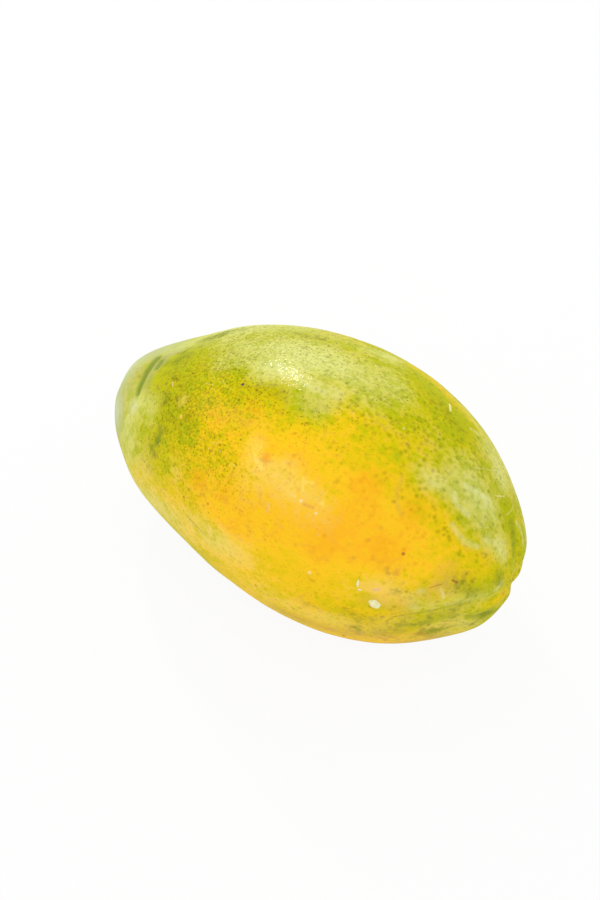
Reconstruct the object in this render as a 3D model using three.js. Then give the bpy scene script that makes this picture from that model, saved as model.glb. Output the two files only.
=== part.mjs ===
// A whole ripe papaya lying on its side, as one closed solid of skin.
// The stem end points to -X and the blossom end to +X. Units are millimetres and degrees, +Z is up.
//
// A place on the skin is given by a station and a bearing. The station runs from 0 at the stem pole
// to 180 at the blossom pole. The bearing runs around the fruit: 0 faces +Y, 90 faces up,
// 180 faces -Y and 270 faces down.

import * as THREE from 'three';
import { mergeVertices } from 'three/addons/utils/BufferGeometryUtils.js';

// Body: a barrel of revolution, fuller towards the blossom end, with a slightly arched axis.
const LENGTH = 215;
const RADIUS = 61.2;
const BLOSSOM_FULLNESS = 0.085;
const BARREL = 0.035;
const EGG = 0.02;
const ARCH = 9;

// At rest the blossom end lies a little higher than the stem end, on a pressed flat spot.
const BLOSSOM_LIFT = 3.5;
const SPOT_DEPTH = 1.2;

// Broad swells and hollows, with how far each spreads along the fruit and around it in degrees.
const SWELLS = [
  { name: 'hollow behind the stem shoulder', station: 46, bearing: 84, along: 12, around: 28, height: -2.2 },
  { name: 'top of the stem shoulder', station: 31, bearing: 115, along: 9, around: 22, height: 3.1 },
  { name: 'front of the stem shoulder', station: 25, bearing: 143, along: 9, around: 20, height: 1.9 },
  { name: 'lower front of the neck', station: 50, bearing: 185, along: 16, around: 30, height: 3 },
  { name: 'dent in the neck', station: 61, bearing: 147, along: 3, around: 5, height: -0.8 },
  { name: 'back of the neck', station: 67, bearing: 60, along: 18, around: 30, height: 0.7 },
  { name: 'front belly', station: 116, bearing: 211, along: 18, around: 30, height: 0.5 },
  { name: 'front blossom hollow', station: 150, bearing: 200, along: 14, around: 30, height: -3.4 },
  { name: 'back blossom lobe', station: 160, bearing: 10, along: 12, around: 40, height: 1.5 },
  { name: 'lower blossom lobe', station: 159, bearing: 231, along: 11, around: 24, height: 0.9 },
  { name: 'back of the stem shoulder', station: 30, bearing: 330, along: 10, around: 45, height: 1.5 },
];

// Five furrows part the blossom end into lobes. They meet at the blossom scar, where each leaves at
// a heading around the scar and then curls by so many degrees a millimetre.
const SCAR = { y: 8, z: -8, pitRadius: 4.5, pitDepth: 1.3, tipRadius: 1.8, tipHeight: 0.3 };
const FURROW_START = 4;
const FURROWS = [
  { heading: 15, curl: -0.3, width: 3.5, depth: 1.6, reach: 36 },
  { heading: 87, curl: -0.27, width: 3.5, depth: 1.3, reach: 36 },
  { heading: 157, curl: 0.33, width: 3.2, depth: 1.8, reach: 50 },
  { heading: 215, curl: -1.1, width: 3.5, depth: 1.1, reach: 30 },
  { heading: 290, curl: 0.3, width: 3.5, depth: 1.6, reach: 36 },
];

// Stem end: a lobed ring around a socket, with the cut stub of the stalk standing in it.
const STEM_RING = { radius: 25, width: 9, height: 2.2, lobes: 5, lobeShare: 0.25, lobeBearing: 20 };
const SOCKET = { radius: 11, depth: 6.5 };
const STUB = { radius: 6.5, height: 7, edge: 1.1 };

// The furrows and scar fade in towards the blossom end, the ring, socket and stub towards the stem end.
const BLOSSOM_SIDE = { from: 100, to: 125 };
const STEM_SIDE = { from: 50, to: 70 };

// Mesh: rings from pole to pole, closer together at both ends, where the small forms are.
const RINGS = 64;
const COLUMNS = 72;
const RING_CROWDING = 0.6;
const MERGE_TOLERANCE = 1e-5;
const SLOPE_STEP = 1e-3;

const SKIN_COLOUR = '#e3bf1f';

const radians = THREE.MathUtils.degToRad;
const smoothstep = THREE.MathUtils.smoothstep;
const bell = (distance, spread) => Math.exp(-((distance / spread) ** 2));

// The shortest way from one bearing to another, in radians.
function turnBetween(from, to) {
  const turn = to - from;
  return Math.atan2(Math.sin(turn), Math.cos(turn));
}

// The smooth body, before any relief.
function bodyPoint(station, bearing) {
  const fullness = 1
    - BLOSSOM_FULLNESS * Math.cos(station)
    - BARREL * Math.cos(2 * station)
    + EGG * Math.cos(3 * station);
  const radius = RADIUS * Math.sin(station) * fullness;
  const lift = ARCH * (Math.sin(station) ** 2 - 0.5);
  return new THREE.Vector3(
    -(LENGTH / 2) * Math.cos(station),
    radius * Math.cos(bearing),
    radius * Math.sin(bearing) + lift,
  );
}

// The outward normal of the smooth body, from its slopes along and around. At a pole the slope
// around vanishes, so the normal is taken a step away from it.
function bodyNormal(station, bearing) {
  const clear = THREE.MathUtils.clamp(station, 2 * SLOPE_STEP, Math.PI - 2 * SLOPE_STEP);
  const along = bodyPoint(clear + SLOPE_STEP, bearing).sub(bodyPoint(clear - SLOPE_STEP, bearing));
  const around = bodyPoint(clear, bearing + SLOPE_STEP).sub(bodyPoint(clear, bearing - SLOPE_STEP));
  return around.cross(along).normalize();
}

function swellHeight(station, bearing) {
  let height = 0;
  for (const swell of SWELLS) {
    const along = (station - radians(swell.station)) / radians(swell.along);
    const around = turnBetween(radians(swell.bearing), bearing) / radians(swell.around);
    height += swell.height * bell(Math.hypot(along, around), 1);
  }
  return height;
}

// Furrows, pit and low tip around the blossom scar.
function blossomHeight(station, point) {
  const y = point.y - SCAR.y;
  const z = point.z - SCAR.z;
  const distance = Math.hypot(y, z);
  const direction = Math.atan2(z, y);
  const tip = SCAR.tipHeight * bell(distance, SCAR.tipRadius);
  const pit = SCAR.pitDepth * bell(distance, SCAR.pitRadius);
  let height = tip - pit;
  for (const furrow of FURROWS) {
    const heading = radians(furrow.heading + furrow.curl * distance);
    const offset = turnBetween(heading, direction) * distance;
    const fade = bell(distance, furrow.reach) * smoothstep(distance, 0, FURROW_START);
    height -= furrow.depth * bell(offset, furrow.width) * fade;
  }
  return height * smoothstep(station, radians(BLOSSOM_SIDE.from), radians(BLOSSOM_SIDE.to));
}

// Ring, socket and stub of the stalk around the stem pole.
function stemHeight(station, point) {
  const pole = bodyPoint(0, 0);
  const distance = Math.hypot(point.y - pole.y, point.z - pole.z);
  const direction = Math.atan2(point.z - pole.z, point.y - pole.y);
  const lobe = Math.cos(STEM_RING.lobes * (direction - radians(STEM_RING.lobeBearing)));
  const crest = STEM_RING.height * (1 + STEM_RING.lobeShare * lobe);
  const ring = crest * bell(distance - STEM_RING.radius, STEM_RING.width);
  const socket = SOCKET.depth * bell(distance, SOCKET.radius);
  const stubEdge = smoothstep(distance, STUB.radius - STUB.edge, STUB.radius + STUB.edge);
  const stub = STUB.height * (1 - stubEdge);
  const height = ring + stub - socket;
  return height * (1 - smoothstep(station, radians(STEM_SIDE.from), radians(STEM_SIDE.to)));
}

function skinPoint(station, bearing) {
  const point = bodyPoint(station, bearing);
  const relief = swellHeight(station, bearing) + blossomHeight(station, point) + stemHeight(station, point);
  return point.addScaledVector(bodyNormal(station, bearing), relief);
}

// A unit sphere with its poles on X, whose merged corners are then moved onto the skin.
function skinGeometry() {
  const sphere = new THREE.SphereGeometry(1, COLUMNS, RINGS);
  sphere.deleteAttribute('normal');
  sphere.deleteAttribute('uv');
  sphere.rotateZ(Math.PI / 2);
  const skin = mergeVertices(sphere, MERGE_TOLERANCE);
  const corners = skin.getAttribute('position');
  const tilt = new THREE.Matrix4().makeRotationY(-radians(BLOSSOM_LIFT));
  for (let i = 0; i < corners.count; i += 1) {
    const even = Math.acos(THREE.MathUtils.clamp(-corners.getX(i), -1, 1));
    const station = even - RING_CROWDING * Math.sin(2 * even) / 2;
    const bearing = Math.atan2(corners.getZ(i), corners.getY(i));
    const point = skinPoint(station, bearing).applyMatrix4(tilt);
    corners.setXYZ(i, point.x, point.y, point.z);
  }
  return skin;
}

// Presses the lowest part of the skin flat, and stands the fruit on z = 0 at the middle of its box.
function restOnFlatSpot(skin) {
  skin.computeBoundingBox();
  const box = skin.boundingBox;
  const middle = box.getCenter(new THREE.Vector3());
  const ground = box.min.z + SPOT_DEPTH;
  const corners = skin.getAttribute('position');
  for (let i = 0; i < corners.count; i += 1) {
    const height = Math.max(corners.getZ(i) - ground, 0);
    corners.setXYZ(i, corners.getX(i) - middle.x, corners.getY(i) - middle.y, height);
  }
  skin.computeVertexNormals();
  skin.computeBoundingBox();
  return skin;
}

const papaya = new THREE.Mesh(
  restOnFlatSpot(skinGeometry()),
  new THREE.MeshStandardMaterial({ color: SKIN_COLOUR, roughness: 0.4, metalness: 0 }),
);
papaya.name = 'papaya';

const group = new THREE.Group();
group.add(papaya);

export default group;
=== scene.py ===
"""Papaya: the whole ripe fruit lying on its side, with its skin, speckles, scars and dried latex.

Lengths in the shape values are millimetres and angles are degrees, as in the part's source. A place
on the skin is a station, from 0 at the stem pole to 180 at the blossom pole, and a bearing around
the fruit: 0 faces +Y, 90 faces up, 180 faces -Y and 270 faces down.
"""

import math

import bpy
import numpy as np
from bpy.props import FloatProperty, FloatVectorProperty, IntProperty, PointerProperty
from bpy.types import Operator, Panel, PropertyGroup
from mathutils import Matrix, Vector, noise


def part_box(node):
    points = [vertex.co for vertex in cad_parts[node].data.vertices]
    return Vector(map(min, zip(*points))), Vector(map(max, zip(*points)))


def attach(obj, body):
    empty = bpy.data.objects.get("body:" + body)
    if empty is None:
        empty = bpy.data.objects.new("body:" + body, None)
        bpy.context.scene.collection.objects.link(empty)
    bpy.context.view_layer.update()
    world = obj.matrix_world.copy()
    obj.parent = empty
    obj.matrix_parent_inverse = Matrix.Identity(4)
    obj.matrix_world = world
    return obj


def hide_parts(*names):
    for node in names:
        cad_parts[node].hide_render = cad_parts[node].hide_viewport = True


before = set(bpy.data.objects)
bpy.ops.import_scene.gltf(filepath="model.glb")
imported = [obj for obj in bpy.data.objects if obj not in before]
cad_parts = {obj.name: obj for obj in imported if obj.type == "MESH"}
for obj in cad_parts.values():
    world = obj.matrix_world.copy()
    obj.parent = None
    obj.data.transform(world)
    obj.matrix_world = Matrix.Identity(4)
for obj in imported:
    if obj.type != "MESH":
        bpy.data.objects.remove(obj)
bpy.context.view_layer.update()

bl_info = {
    "name": "Papaya maker",
    "version": (1, 0, 0),
    "blender": (4, 5, 0),
    "location": "View3D > Sidebar > Papaya",
    "description": "Grows a ripe papaya skin over its frame and sets a plain stage",
    "category": "Object",
}

NODE = "papaya"
BODY = "root"
MM = 0.001

# --- Body of the fruit, as in the part's source ---

LENGTH = 215
RADIUS = 61.2
BLOSSOM_FULLNESS = 0.085
BARREL = 0.035
EGG = 0.02
ARCH = 9
BLOSSOM_LIFT = 3.5
SPOT_DEPTH = 1.2

# Broad swells: station, bearing, spread along, spread around, height.
SWELLS = (
    (46, 84, 12, 28, -2.2),
    (31, 115, 9, 22, 3.1),
    (25, 143, 9, 20, 1.9),
    (50, 185, 16, 30, 3.0),
    (61, 147, 3, 5, -0.8),
    (67, 60, 18, 30, 0.7),
    (116, 211, 18, 30, 0.5),
    (150, 200, 14, 30, -3.4),
    (160, 10, 12, 40, 1.5),
    (159, 231, 11, 24, 0.9),
    (30, 330, 10, 45, 1.5),
)

# Blossom scar and the five furrows: heading, curl a millimetre, width, depth, reach.
SCAR_Y, SCAR_Z = 8, -8
PIT_RADIUS, PIT_DEPTH = 4.5, 1.3
TIP_RADIUS, TIP_HEIGHT = 1.8, 0.3
FURROW_START = 4
FURROWS = (
    (15, -0.3, 3.5, 1.6, 36),
    (87, -0.27, 3.5, 1.3, 36),
    (157, 0.33, 3.2, 1.8, 50),
    (215, -1.1, 3.5, 1.1, 30),
    (290, 0.3, 3.5, 1.6, 36),
)
BLOSSOM_SIDE = (100, 125)

# Stem ring, socket and stub.
RING_RADIUS, RING_WIDTH, RING_HEIGHT = 25, 9, 2.2
RING_LOBES, RING_LOBE_SHARE, RING_LOBE_BEARING = 5, 0.25, 20
SOCKET_RADIUS, SOCKET_DEPTH = 11, 6.5
STUB_RADIUS, STUB_HEIGHT, STUB_EDGE = 6.5, 7, 1.1
STEM_SIDE = (50, 70)

# --- Finer relief that only the skin carries ---

# Dents drawn along short paths: points as station and bearing, then width and depth.
CREASES = (
    (((40.7, 131.5), (39.8, 120.7), (38.6, 109.2), (37.2, 98.5)), 1.9, 0.9),
    (((42.0, 109.7), (41.3, 105), (40.5, 101.5)), 1.6, 0.7),
    (((47.5, 133), (45, 125), (42.7, 117)), 2.0, 0.25),
    (((59.4, 142), (60.4, 146), (60.2, 151)), 1.3, 0.5),
)

# A small dimple with a raised rim on the orange cheek.
DIMPLE = (94.9, 129.6)
DIMPLE_RADIUS, DIMPLE_DEPTH = 1.7, 0.55
DIMPLE_RIM_RADIUS, DIMPLE_RIM_WIDTH, DIMPLE_RIM_HEIGHT = 3.6, 1.5, 0.28

# Waviness of the skin: wavelength and height of each layer.
WAVES = ((26, 0.30), (11, 0.13), (5.5, 0.05))

# The step that slopes are taken over, in radians, and the grid that finds the lowest place.
SLOPE_STEP = 1e-3
REST_RINGS, REST_COLUMNS = 181, 361


def tint(code):
    """The scene-linear colour of a hex colour code."""
    channels = [int(code[i:i + 2], 16) / 255 for i in (1, 3, 5)]
    return tuple(c / 12.92 if c <= 0.04045 else ((c + 0.055) / 1.055) ** 2.4 for c in channels)


# --- What is painted on the skin ---

# Each layer has a base and its patches: station, bearing, spread along, spread around, amount.

PAINT = {
    # From green through yellow to orange.
    "ripeness": (0.07, (
        (121, 138, 30, 30, 0.88), (90, 157, 20, 17, 0.37), (93, 121, 14, 10, 0.4),
        (71, 126, 14, 13, 0.4), (72, 172, 14, 11, 0.26), (98, 188, 46, 18, 0.46),
        (128, 212, 22, 18, 0.36), (146, 212, 14, 16, 0.15), (126, 160, 20, 12, 0.1),
        (128, 120, 14, 8, 0.18), (148, 137, 8, 9, 0.26), (144, 112, 6, 6, 0.12),
        (113, 103, 11, 9, 0.13), (134, 104, 10, 13, 0.16), (130, 92, 6, 5, 0.14),
        (100, 100, 5, 5, -0.14), (160, 180, 14, 12, 0.14), (123, 42, 9, 5, 0.36),
        (107, 46, 10, 6, 0.25), (161, 104, 5, 24, 0.15), (162, 70, 5, 12, 0.12),
        (173, 200, 4, 12, 0.34), (175, 260, 3.5, 50, 0.38), (54, 176, 10, 9, 0.26),
        (56, 183, 11, 10, 0.04), (98, 177, 9, 7, 0.1), (118, 203, 14, 7, 0.13),
        (134, 191, 8, 6, 0.1), (152, 205, 5, 9, 0.12), (136, 166, 6, 6, 0.12),
        (91, 202, 6, 6, 0.2), (80, 209, 16, 8, 0.1), (105, 220, 26, 10, 0.4),
        (135, 221, 12, 8, 0.15), (154, 228, 9, 14, 0.13), (82, 111, 12, 5, -0.08),
        (56, 134, 6, 8, -0.1), (88, 133, 11, 7, 0.2), (98, 142, 8, 6, 0.06),
        (90, 163, 6, 6, 0.12), (110, 172, 8, 6, 0.1), (150, 122, 10, 12, 0.13),
        (133, 101, 5, 5, -0.12), (98, 104, 5, 5, -0.12), (109, 101, 4, 4, 0.1),
        (130, 169, 5, 5, 0.12), (110, 130, 5, 5, -0.12), (133, 206, 6, 7, 0.14),
        (86, 160, 8, 8, 0.1), (160, 114, 5, 8, 0.12), (126, 118, 8, 5, -0.1),
        (151, 157, 5, 7, 0.2), (171, 165, 4, 20, 0.12), (171, 90, 4, 20, 0.14),
        (160, 71, 5, 6, -0.15), (84, 122, 9, 6, -0.06), (90, 120, 6, 6, 0.06),
        (100, 119, 5, 5, -0.1), (70, 131, 6, 6, -0.1), (60, 165, 5, 8, -0.09),
        (80, 173, 6, 8, -0.09), (161, 111, 4, 6, -0.12), (110, 80, 7, 14, -0.08),
        (70, 160, 6, 7, 0.09), (171, 187, 4, 5, 0.14), (150, 110, 5, 5, -0.14),
        (120, 90, 5, 5, 0.05), (112, 82, 14, 12, 0.04), (80, 176, 5, 5, 0.06),
        (90, 98, 6, 6, 0.05), (170, 130, 5, 50, 0.08), (50, 174, 8, 10, 0.1),
        (60, 190, 12, 8, 0.1), (80, 181, 6, 6, 0.1), (136, 116, 8, 9, -0.06),
        (95, 262, 40, 36, 0.55), (140, 320, 22, 30, 0.35), (70, 350, 24, 26, 0.25),
    )),
    # Deep green clouds that are left of the unripe skin, and painted shade: some patches darken the
    # dents of the stem shoulder, the neck dent and the blossom furrows.
    "deep_green_and_shade": (0.0, (
        (5, 0, 8, 900, 0.55), (24, 330, 9, 22, 0.35), (22, 240, 8, 16, 0.25),
        (20, 40, 7, 18, 0.25), (123, 61, 8, 8, 0.4), (114, 58, 5, 7, 0.15), (119, 84, 5, 8, 0.12),
        (60, 116, 10, 14, 0.3), (64, 138, 7, 8, 0.25), (48, 98, 8, 18, 0.65),
        (60, 147, 3, 7, 0.35), (90, 105, 9, 4, 0.3), (80, 66, 13, 6, 0.3), (112, 124, 4, 3, 0.3),
        (161, 55, 9, 6, 0.45), (167, 112, 4, 14, 0.4), (160, 145, 10, 14, 0.5),
        (140, 193, 12, 8, 0.44), (152, 190, 10, 10, 0.35), (166, 218, 4, 14, 0.6),
        (121, 182, 8, 4, 0.38), (112, 170, 7, 6, 0.18), (50, 77, 7, 9, 0.3),
        (60, 157, 5, 8, 0.15), (161, 172, 6, 9, 0.4), (84, 112, 9, 6, 0.12),
        (122, 188, 8, 8, 0.2), (131, 201, 7, 7, 0.28), (146, 217, 9, 8, 0.28),
        (62, 130, 9, 8, 0.25), (52, 128, 6, 8, 0.2), (126, 199, 12, 5, 0.04),
        (145, 210, 9, 6, 0.45), (170, 124, 4, 9, 0.35), (140, 161, 5, 5, 0.25),
        (84, 122, 8, 7, 0.16), (70, 131, 6, 6, 0.12), (55, 72, 7, 8, 0.3), (60, 68, 5, 6, 0.2),
        (70, 93, 6, 6, 0.18), (41, 116, 4, 10, 0.14), (171, 130, 4, 44, 0.22),
        (170, 187, 5, 6, -0.18), (161, 221, 6, 8, 0.28), (151, 181, 6, 7, 0.2),
        (171, 208, 4, 14, 0.16), (110, 200, 7, 7, 0.14), (120, 205, 7, 7, 0.13),
        (72, 64, 8, 8, 0.12), (170, 85, 5, 12, 0.12), (60, 150, 5, 5, 0.12),
        (141, 214, 7, 7, 0.16), (100, 5, 24, 18, 0.4), (60, 290, 20, 26, 0.4),
        (150, 275, 16, 18, 0.4),
    )),
    # Pale bloom over the top and the blossom half, with painted sheen: the pale halo round the
    # highlight on top is painted here. Below zero, none shows in the clouds.
    "pale": (-0.09, (
        (81, 119, 17, 9, -0.6), (80, 121, 14, 7, -0.22), (121, 60, 8, 11, -0.45),
        (124, 124, 14, 9, -0.38), (136, 169, 4, 6, -0.35), (73, 80, 8, 6, -0.2),
        (132, 178, 14, 4, -0.25), (122, 218, 12, 8, -0.32), (140, 199, 6, 6, -0.25),
        (42, 84, 7, 14, 0.25), (75, 57, 16, 8, 0.35), (69, 101, 7, 6, 0.25), (112, 93, 7, 9, 0.1),
        (130, 84, 8, 10, 0.14), (128, 58, 8, 8, -0.2), (71, 156, 6, 8, 0.3),
        (171, 175, 4, 25, 0.04), (160, 222, 12, 16, 0.2), (57, 68, 20, 19, 0.88),
        (66, 90, 16, 10, 0.3), (87, 84, 16, 14, 0.84), (84, 99, 9, 7, 0.42), (98, 102, 7, 6, 0.3),
        (101, 111, 5, 5, 0.2), (107, 78, 14, 13, 0.5), (148, 77, 7, 8, 0.22),
        (101, 60, 6, 6, 0.25), (124, 40, 8, 5, 0.35), (111, 49, 5, 5, -0.35),
        (90, 50, 5, 5, -0.25), (99, 53, 8, 7, 0.58), (144, 85, 11, 22, 0.66),
        (132, 97, 7, 8, 0.55), (162, 84, 6, 14, 0.7), (137, 47, 10, 14, 0.72),
        (103, 135, 15, 12, 0.72), (43, 158, 7, 28, 0.6), (54, 165, 8, 15, 0.26),
        (48, 134, 7, 10, 0.42), (62, 186, 18, 15, 0.72), (88, 174, 15, 11, 0.62),
        (115, 191, 24, 9, 0.46), (134, 166, 9, 10, 0.66), (160, 166, 17, 26, 0.64),
        (171, 125, 6, 30, 0.4), (145, 208, 22, 18, 0.5), (50, 152, 9, 18, 0.16),
        (40, 84, 6, 12, 0.22), (82, 122, 10, 8, -0.22), (90, 62, 8, 6, 0.14),
        (133, 28, 12, 8, 0.25), (114, 84, 12, 10, -0.1), (160, 226, 12, 14, 0.15),
        (161, 171, 6, 8, -0.25), (135, 181, 9, 5, 0.15), (140, 10, 26, 20, 0.68),
        (80, 20, 32, 22, 0.74), (120, 300, 26, 22, 0.58),
    )),
    # Where the skin ripens in blotches instead of evenly.
    "blotch": (0.0, (
        (72, 128, 17, 24, 0.45), (104, 98, 16, 10, 0.3), (146, 134, 14, 16, 0.4),
        (130, 200, 20, 12, 0.4),
    )),
    # Fine dark speckles, dense on the stem half.
    "speckle": (0.16, (
        (70, 120, 19, 30, 1), (70, 80, 20, 18, 0.55), (84, 148, 14, 14, 0.35),
        (104, 84, 16, 16, 0.12), (91, 96, 12, 8, -0.4), (62, 128, 10, 12, 0.25),
        (84, 116, 9, 8, 0.12), (120, 140, 22, 24, -0.2), (112, 170, 30, 18, -0.15),
        (36, 120, 14, 70, -0.9), (142, 112, 20, 32, -0.4), (75, 30, 26, 40, 0.45),
        (75, 300, 26, 40, 0.45),
    )),
    # Larger soft spots, mostly towards the blossom end.
    "spots": (0.10, (
        (138, 86, 26, 36, 0.78), (136, 116, 14, 14, 0.5), (112, 92, 16, 20, 0.5),
        (150, 165, 18, 34, 0.4), (118, 62, 18, 22, 0.28), (140, 330, 22, 40, 0.6),
        (110, 138, 18, 20, -0.1),
    )),
    # Pale flecks crowded into a few light patches.
    "fleck": (0.0, (
        (71, 109, 5, 4, 0.8), (64, 124, 3.5, 3, 0.9), (83, 138, 6, 3, 0.5), (70, 150, 8, 3, 0.6),
        (141, 160, 7, 6, 0.7), (155, 95, 5, 8, 0.7), (110, 300, 12, 12, 0.5),
    )),
}

# Wax: a pale, dull coat over the stem end, fading out past the shoulder. It is thinner in patches.
WAX_FADE = (26, 51)
WAX_GAPS = (
    (32, 300, 9, 20, -0.6), (22, 62, 7, 18, -0.45), (38, 22, 8, 22, -0.45),
    (13, 120, 6, 26, -0.3), (38, 252, 9, 16, -0.55), (15, 196, 6, 22, -0.3),
    (5, 0, 7, 900, -0.35),
)

# Marks of each kind: colour, whether the edge is soft, round marks and drawn marks.
# A round mark has a station, bearing, radius and strength. A drawn mark has a path of stations
# and bearings, then radius and strength.
MARKS = {
    # Pale bloom and scuffs, and one painted highlight: the long soft streak along the top.
    "bloom_and_sheen": ("#e4e7a6", True, (
        (155.8, 98, 3, 0.38), (159, 88.5, 2.4, 0.36), (150.5, 92, 3, 0.18),
        (143.8, 157.5, 1.6, 0.45), (143, 171, 2.4, 0.3), (128.5, 50.5, 1.4, 0.4),
        (120, 270, 4, 0.4),
    ), (
        (((139.7, 84.5), (143, 80.4), (147.1, 75.6)), 1.3, 0.5),
        (((138.6, 94), (140.2, 98), (145.6, 97)), 1, 0.45),
        # Painted highlight: a pale streak where the lamp's glint falls on top.
        (((81, 94.5), (88, 95.5), (95, 96), (101, 94)), 3, 0.32),
        (((149.2, 152.6), (150.2, 155.8), (151, 160.3)), 0.55, 0.65),
        (((156, 46), (157.5, 38), (162.5, 28)), 0.9, 0.4),
        (((143.5, 110), (149, 113), (154, 108)), 1.3, 0.35),
        (((171.2, 150), (172, 120)), 0.9, 0.4),
    )),
    # Pale yellow patches, and painted highlights: the pale arcs on the dimple's rim and the small
    # bright dots are painted glints.
    "lemon_and_glint": ("#ffe36a", True, (
        (91.5, 128.5, 4.6, 0.45), (92.4, 131.2, 1, 0.9), (112.6, 135.1, 1.1, 0.6),
        (64.3, 124.8, 2.6, 0.35), (104.5, 137, 3, 0.25), (88.4, 171.6, 2.4, 0.25),
        (112.6, 134.9, 0.9, 0.7),
    ), (
        (((93, 127), (92.7, 129.2)), 0.9, 0.6), (((93.2, 132.6), (95.4, 134.2)), 1, 0.6),
        (((105.7, 129.8), (107, 133.9)), 0.6, 0.6), (((106.2, 131.2), (108.4, 129.6)), 0.7, 0.6),
    )),
    "amber": ("#f5a311", True, (
        (95.4, 129.8, 2, 0.8), (79.5, 152, 4, 0.5), (88, 150, 4, 0.3), (120, 118, 6, 0.45),
        (133, 118, 5, 0.4), (131, 140, 6, 0.35), (116, 150, 6, 0.25), (86, 116, 4.5, 0.25),
    ), ()),
    "salmon": ("#d98a34", True, (
        (102.5, 131, 0.8, 0.4), (103, 132.7, 0.7, 0.35), (106, 134.6, 1, 0.25),
        (135.7, 149.5, 1.5, 0.45), (102.7, 134.6, 0.7, 0.25), (127.6, 132.2, 0.9, 0.45),
        (126.2, 139.7, 0.8, 0.5), (123.2, 134.2, 0.7, 0.35), (121.6, 132.2, 0.7, 0.35),
        (124.3, 150, 0.8, 0.4), (122, 145.2, 0.7, 0.35),
    ), (
        (((94.1, 131.3), (95.7, 131.4), (97.2, 129.9)), 0.6, 0.3),
        (((108.6, 138.6), (110.8, 138.2)), 0.8, 0.4), (((141.1, 206), (144.1, 213)), 0.9, 0.5),
    )),
    # Dark green streaks, and painted shade: the small spot at the edge of the neck dent is shade
    # painted in.
    "moss_and_shade": ("#7c8c26", True, (
        (169.4, 113, 3, 0.35), (60.8, 146.5, 1.2, 0.45),
    ), (
        (((155.6, 54.7), (159.8, 52.1), (167.2, 52.1)), 1.5, 0.55),
        (((160.3, 200.5), (164.8, 210.7), (167.7, 227.3), (167.9, 256)), 1.5, 0.6),
        (((139.6, 180.2), (147.8, 177.6), (154.3, 170.6), (159.8, 156)), 0.9, 0.4),
    )),
    # Ochre streaks, and painted shade: the wide bands along the underside darken the lower rim
    # where less light falls.
    "ochre_and_shade": ("#c3a24e", True, (), (
        (((72, 122), (80, 123), (90, 120)), 4.5, 0.12),
        (((100, 212), (112, 215), (122, 219), (134, 221), (146, 226)), 4.5, 0.6),
        (((126.1, 107.8), (126.7, 113.8), (128, 118.3), (130.5, 122)), 1, 0.25),
        (((149, 139), (150, 148), (146, 157)), 5, 0.36), (((130, 170), (141, 171)), 4, 0.32),
        (((104, 200), (118, 201), (132, 201)), 4.5, 0.5),
    )),
    # Greyer, darker wax: painted shade beside the shoulder dents and on the top of the stem
    # shoulder.
    "grey_shade": ("#b4b184", True, (
        (30, 92, 6.5, 0.4),
    ), (
        (((39.9, 106.5), (41.7, 118.8)), 0.9, 0.7), (((42.3, 112), (43, 115.4)), 0.7, 0.6),
        (((41.5, 90), (42.5, 124)), 3.6, 0.5),
    )),
    "frost": ("#dfe5cc", True, (
        (27, 112, 6.5, 0.3), (30, 156, 6, 0.45), (42, 141, 4, 0.3), (15, 205, 6, 0.45),
        (16, 60, 6.5, 0.4), (20, 300, 7, 0.4), (26, 250, 6, 0.35), (30, 20, 7, 0.35),
    ), ()),
    "peach": ("#fbcd55", False, (
        (66.5, 132, 1.1, 0.75), (64, 128, 0.8, 0.3),
    ), (
        (((128.4, 162.6), (132.7, 161.6)), 2.8, 0.7),
    )),
    "rose": ("#e6bf8c", False, (
        (132.3, 162.2, 1, 0.7), (114.5, 147, 0.6, 0.3),
    ), (
        (((56.1, 117.6), (56.9, 119.6)), 0.5, 0.75),
        (((100.3, 145.2), (100.7, 148.3)), 0.5, 0.45), (((131, 163.2), (132.4, 162.2)), 0.9, 0.6),
    )),
    "purple": ("#4b3a5e", False, (
        (79.1, 107.9, 0.85, 0.95),
    ), ()),
    "brown": ("#8c4626", False, (
        (75.8, 164.4, 0.7, 0.6), (84.2, 159.4, 0.6, 0.6), (135.5, 138.7, 0.85, 0.65),
        (121, 207.9, 0.9, 0.9), (99.4, 187.7, 0.8, 0.4), (84.8, 163.2, 0.5, 0.4),
        (143, 118, 0.6, 0.3), (87, 166, 0.5, 0.35), (96, 300, 1.1, 0.7), (128, 352, 0.9, 0.6),
        (70, 262, 0.8, 0.6),
    ), (
        (((151.9, 143.1), (153.5, 143.9)), 0.65, 0.6),
        (((145.9, 153.6), (147.4, 151), (149, 148.8)), 0.3, 0.4),
        (((134.9, 186), (137.2, 181.4), (139.6, 180.2)), 0.5, 0.32),
        (((77.2, 173.3), (80.3, 174), (83.2, 175)), 0.35, 0.45),
        (((118, 340), (122, 334), (123, 326)), 0.4, 0.4),
    )),
    "cream": ("#f6ecb4", False, (
        (127.3, 53, 0.9, 0.35), (101.2, 69.1, 0.7, 0.5), (118.6, 89, 0.6, 0.4),
        (114.5, 165.1, 0.9, 0.55), (107.6, 138, 0.8, 0.7), (105.8, 137.5, 0.6, 0.3),
        (112.1, 139.7, 0.8, 0.5), (86, 20, 1, 0.5), (110, 330, 1.2, 0.5),
    ), (
        (((119.2, 53.8), (121, 57.8)), 0.65, 0.7),
        (((137.3, 71.3), (138.8, 63), (140.2, 55)), 0.22, 0.32),
        (((146.6, 66), (147.7, 55.2)), 0.3, 0.4),
        (((153.1, 59.5), (152, 49.4), (149.5, 45)), 0.3, 0.28),
    )),
}

# Dried latex: station, bearing, half length along, half width around, height.
LATEX_DROPS = (
    (131.8, 172.1, 2.7, 2.5, 0.9),
    (126.8, 162, 0.6, 2.3, 0.4),
    (127.5, 165.2, 0.9, 0.5, 0.3),
    (20, 205, 1.6, 3.4, 0.7),
    (24, 262, 2, 1.5, 0.6),
)
LATEX_RINGS, LATEX_SIDES = 10, 36
LATEX_SINK = 0.15

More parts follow.
